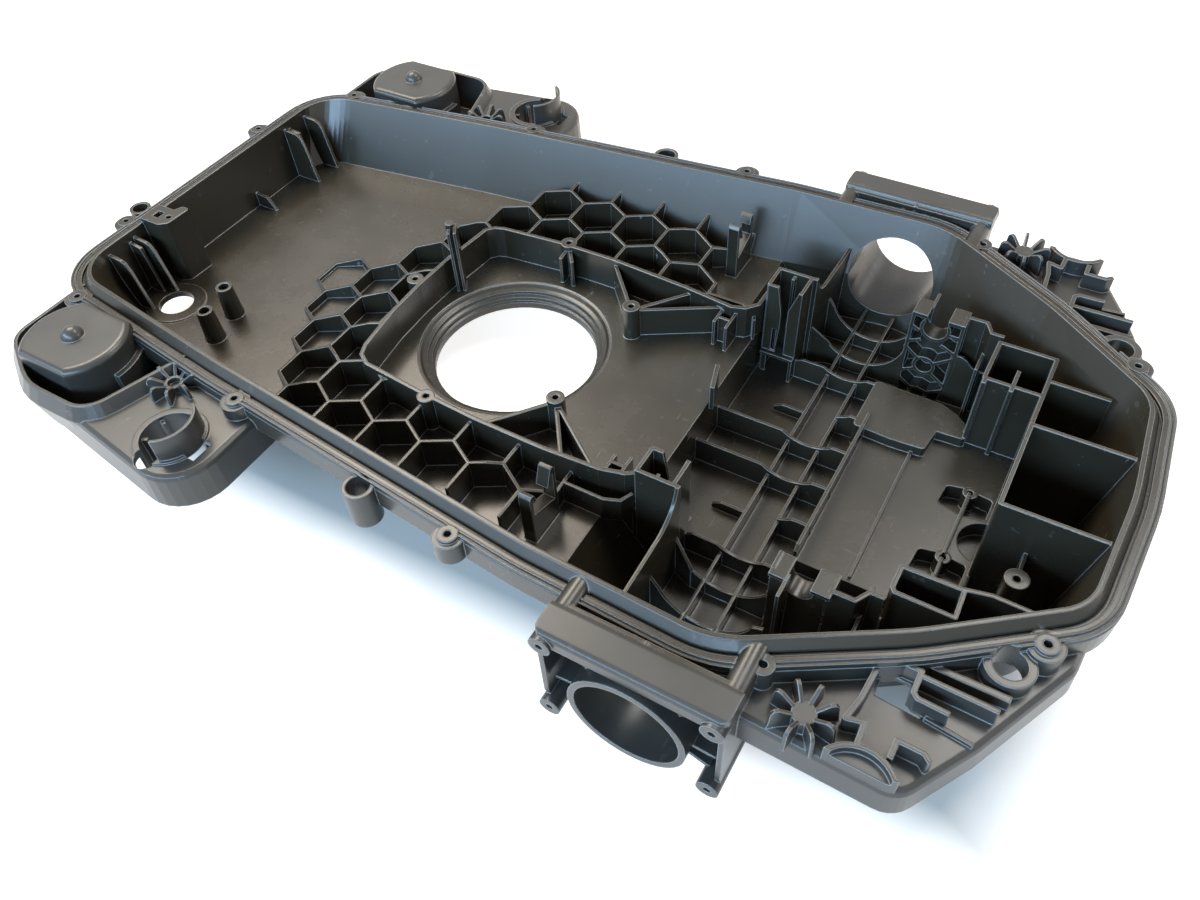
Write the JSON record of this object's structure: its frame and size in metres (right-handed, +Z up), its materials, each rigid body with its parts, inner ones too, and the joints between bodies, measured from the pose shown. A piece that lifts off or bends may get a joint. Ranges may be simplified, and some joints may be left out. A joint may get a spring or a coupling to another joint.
{
  "type": "robotic mower lower cover",
  "caption": "Moulded lower cover of a robotic mower: open ribbed tray with a blade opening, honeycomb floor, wheel flanges and caster decks.",
  "frame": {"origin": "middle of the bounding box at the underside of the rear floor", "axes": "+X from the caster end to the wheel end, +Y across the cover, +Z up out of the open tray"},
  "size_m": [0.5942, 0.3896, 0.0815],
  "materials": {
    "lower_cover": "satin moulded, dark warm grey"
  },
  "bodies": {
    "root": {"lower_cover": "lower_cover"}
  },
  "joints": []
}
